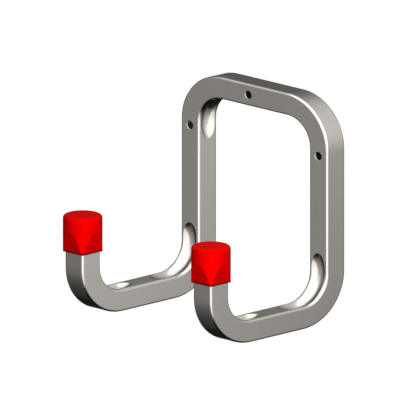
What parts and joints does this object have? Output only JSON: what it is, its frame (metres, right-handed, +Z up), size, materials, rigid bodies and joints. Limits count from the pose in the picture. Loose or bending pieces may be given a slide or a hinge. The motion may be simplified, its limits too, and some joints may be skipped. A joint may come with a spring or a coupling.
{
  "type": "double hook",
  "caption": "Wall hook bent from one square steel tube: an arched frame with screw holes whose legs turn forward into two arms with upturned, soft-capped tips.",
  "frame": {"origin": "on the wall plane, midway between the axes of the two leg screw holes", "axes": "+X to the right seen from the front, +Y into the wall, +Z up"},
  "size_m": [0.1724, 0.1535, 0.2],
  "materials": {
    "tube_steel": "satin",
    "cap_vinyl": "satin"
  },
  "bodies": {
    "root": {"bent_tube": "tube_steel", "left_cap": "cap_vinyl", "right_cap": "cap_vinyl"}
  },
  "joints": []
}
